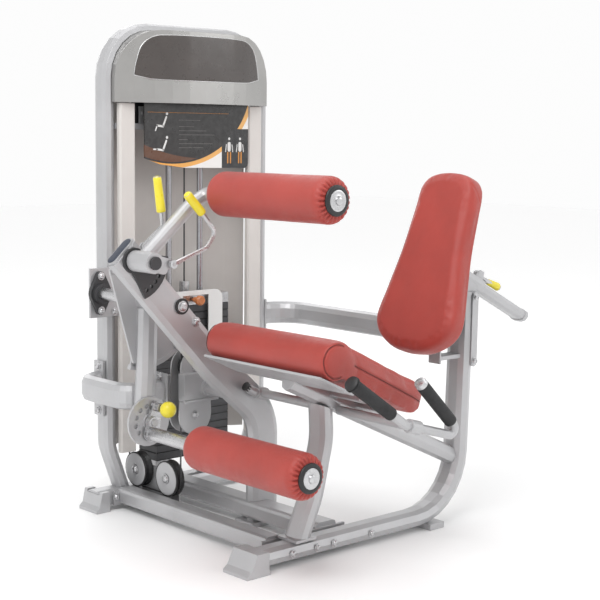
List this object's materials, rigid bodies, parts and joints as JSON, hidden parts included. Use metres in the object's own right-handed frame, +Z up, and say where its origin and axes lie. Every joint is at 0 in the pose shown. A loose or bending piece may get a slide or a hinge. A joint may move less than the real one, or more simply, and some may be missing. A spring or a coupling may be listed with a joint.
{
  "type": "leg extension machine",
  "caption": "Seated gym machine: a weight stack tower drives a padded leg arm, with a thigh roller, a sloping seat and a sliding backrest.",
  "frame": {"origin": "on the floor under the middle of the machine's bounding box", "axes": "+Z up; the user faces -X; the weight tower stands on the +Y side of the seat"},
  "size_m": [1.3232, 1.226, 1.49],
  "materials": {
    "paint": "silver-grey powder coat, satin",
    "cover": "light warm grey moulded cover",
    "satin": "darker satin metallic paint",
    "badge": "near-black smooth panel",
    "steel": "bright turned steel",
    "black": "black moulded nylon",
    "iron": "black painted iron",
    "white": "off-white moulded panel",
    "vinyl": "red vinyl upholstery with a soft sheen",
    "foam": "black foam rubber",
    "yellow": "yellow moulded knob",
    "orange": "orange-brown moulded knob",
    "cable": "black nylon-coated steel cable"
  },
  "bodies": {
    "frame": {"tower_arch": "paint", "tower_base_rail": "paint", "tower_foot_front": "paint", "tower_foot_rear": "paint", "cover_strip_left": "cover", "cover_strip_right": "cover", "rear_cover": "cover", "header_panel": "satin", "header_badge": "badge", "placard": "badge", "head_plate": "paint", "resting_plates": "iron", "lift_cable": "cable", "cam_cable": "cable", "pulley_beam": "paint", "pulley_bracket": "paint", "cross_tube_front": "paint", "cross_tube_rear": "paint", "seat_rail": "paint", "seat_foot_front": "paint", "front_seat_post": "paint", "seat_beam": "paint", "main_post": "paint", "side_connector": "paint", "knee_mount": "paint", "knee_bearing": "iron", "knee_shaft": "steel", "latch_sector": "iron", "seat_cushion": "vinyl", "slide_sleeve": "paint", "guide_rod_left": "iron", "guide_rod_right": "iron", "handle_near": "paint", "handle_far": "paint", "grip_low_near": "foam", "grip_high_near": "foam", "grip_high_far": "foam"},
    "stack": {"top_plate": "steel", "weight_guard": "white"},
    "pin": {"selector_pin": "orange"},
    "top_pulley_drop": {"top_pulley_drop": "black"},
    "top_pulley_stack": {"top_pulley_stack": "black"},
    "base_pulley_far": {"base_pulley_far": "black"},
    "base_pulley_near": {"base_pulley_near": "black"},
    "bracket_pulley_lower": {"bracket_pulley_lower": "black"},
    "bracket_pulley_upper": {"bracket_pulley_upper": "black"},
    "arm": {"swing_arm": "paint", "cam": "paint"},
    "crank": {"roller_crank": "steel"},
    "plunger": {"range_plunger": "yellow"},
    "lower_roller": {"lower_roller": "vinyl"},
    "thigh": {"thigh_arm": "paint"},
    "release_lever": {"release_lever": "steel"},
    "pull_lever": {"pull_lever": "steel"},
    "upper_roller": {"upper_roller": "vinyl"},
    "carriage": {"slide_tube": "paint", "back_mount": "iron", "back_pad": "vinyl"},
    "lock_lever": {"lock_lever": "steel"}
  },
  "joints": [
    {"name": "knee_swing", "type": "hinge", "parent": "frame", "child": "arm", "pos_m": [-0.44, 0.2, 0.68], "axis": [0, 1, 0], "range_deg": [0, 90]},
    {"name": "stack_lift", "type": "slide", "parent": "frame", "child": "stack", "axis": [0, 0, 1], "range_m": [0, 0.28]},
    {"name": "pin_pull", "type": "slide", "parent": "stack", "child": "pin", "axis": [0, -1, 0], "range_m": [0, 0.09]},
    {"name": "crank_turn", "type": "hinge", "parent": "arm", "child": "crank", "pos_m": [-0.457, 0.158, 0.334], "axis": [0, 1, 0], "range_deg": [0, 150]},
    {"name": "plunger_pull", "type": "slide", "parent": "crank", "child": "plunger", "axis": [0, -1, 0], "range_m": [0, 0.014], "stiffness_N_per_m": 600, "springref_m": -0.004},
    {"name": "lower_roller_spin", "type": "hinge", "parent": "crank", "child": "lower_roller", "pos_m": [-0.457, -0.288, 0.3], "axis": [0, 1, 0], "continuous": true},
    {"name": "thigh_arm_swing", "type": "hinge", "parent": "frame", "child": "thigh", "pos_m": [-0.603, 0, 0.817], "axis": [0, 1, 0], "range_deg": [-70, 45]},
    {"name": "release_squeeze", "type": "hinge", "parent": "thigh", "child": "release_lever", "pos_m": [-0.548, -0.066, 0.812], "axis": [0, 1, 0], "range_deg": [-14, 0], "stiffness_Nm_per_rad": 3, "springref_deg": 8.59},
    {"name": "pull_lever_swing", "type": "hinge", "parent": "frame", "child": "pull_lever", "pos_m": [-0.545, 0.06, 0.85], "axis": [0, 1, 0], "range_deg": [0, 18], "stiffness_Nm_per_rad": 5, "springref_deg": -8.59},
    {"name": "upper_roller_spin", "type": "hinge", "parent": "thigh", "child": "upper_roller", "pos_m": [-0.378, -0.288, 0.996], "axis": [0, 1, 0], "continuous": true},
    {"name": "back_slide", "type": "slide", "parent": "frame", "child": "carriage", "axis": [0.8961, 0, -0.444], "range_m": [-0.16, 0]},
    {"name": "lock_lever_lift", "type": "hinge", "parent": "frame", "child": "lock_lever", "pos_m": [0.4354, -0.288, 0.7464], "axis": [0, 1, 0], "range_deg": [-25, 0], "stiffness_Nm_per_rad": 2, "springref_deg": 5.73},
    {"name": "top_drop_turn", "type": "hinge", "parent": "frame", "child": "top_pulley_drop", "pos_m": [-0.2595, 0.49, 1.22], "axis": [0, 1, 0], "range_deg": [-452, 0]},
    {"name": "top_stack_turn", "type": "hinge", "parent": "frame", "child": "top_pulley_stack", "pos_m": [-0.1215, 0.49, 1.22], "axis": [0, 1, 0], "range_deg": [-452, 0]},
    {"name": "base_far_turn", "type": "hinge", "parent": "frame", "child": "base_pulley_far", "pos_m": [-0.295, 0.446, 0.118], "axis": [1, 0, 0], "range_deg": [-305, 0]},
    {"name": "base_near_turn", "type": "hinge", "parent": "frame", "child": "base_pulley_near", "pos_m": [-0.295, 0.287, 0.118], "axis": [1, 0, 0], "range_deg": [-305, 0]},
    {"name": "bracket_lower_turn", "type": "hinge", "parent": "frame", "child": "bracket_pulley_lower", "pos_m": [-0.2615, 0.231, 0.323], "axis": [0, 1, 0], "range_deg": [0, 479]},
    {"name": "bracket_upper_turn", "type": "hinge", "parent": "frame", "child": "bracket_pulley_upper", "pos_m": [-0.2615, 0.231, 0.467], "axis": [0, 1, 0], "range_deg": [0, 479]}
  ],
  "couplings": [
    {"joint": "stack_lift", "follows": "knee_swing", "m_per_rad": 0.17},
    {"joint": "top_drop_turn", "follows": "knee_swing", "ratio": -4.928},
    {"joint": "top_stack_turn", "follows": "knee_swing", "ratio": -4.928},
    {"joint": "base_far_turn", "follows": "knee_swing", "ratio": -3.301},
    {"joint": "base_near_turn", "follows": "knee_swing", "ratio": -3.301},
    {"joint": "bracket_lower_turn", "follows": "knee_swing", "ratio": 5.231},
    {"joint": "bracket_upper_turn", "follows": "knee_swing", "ratio": 5.231}
  ]
}
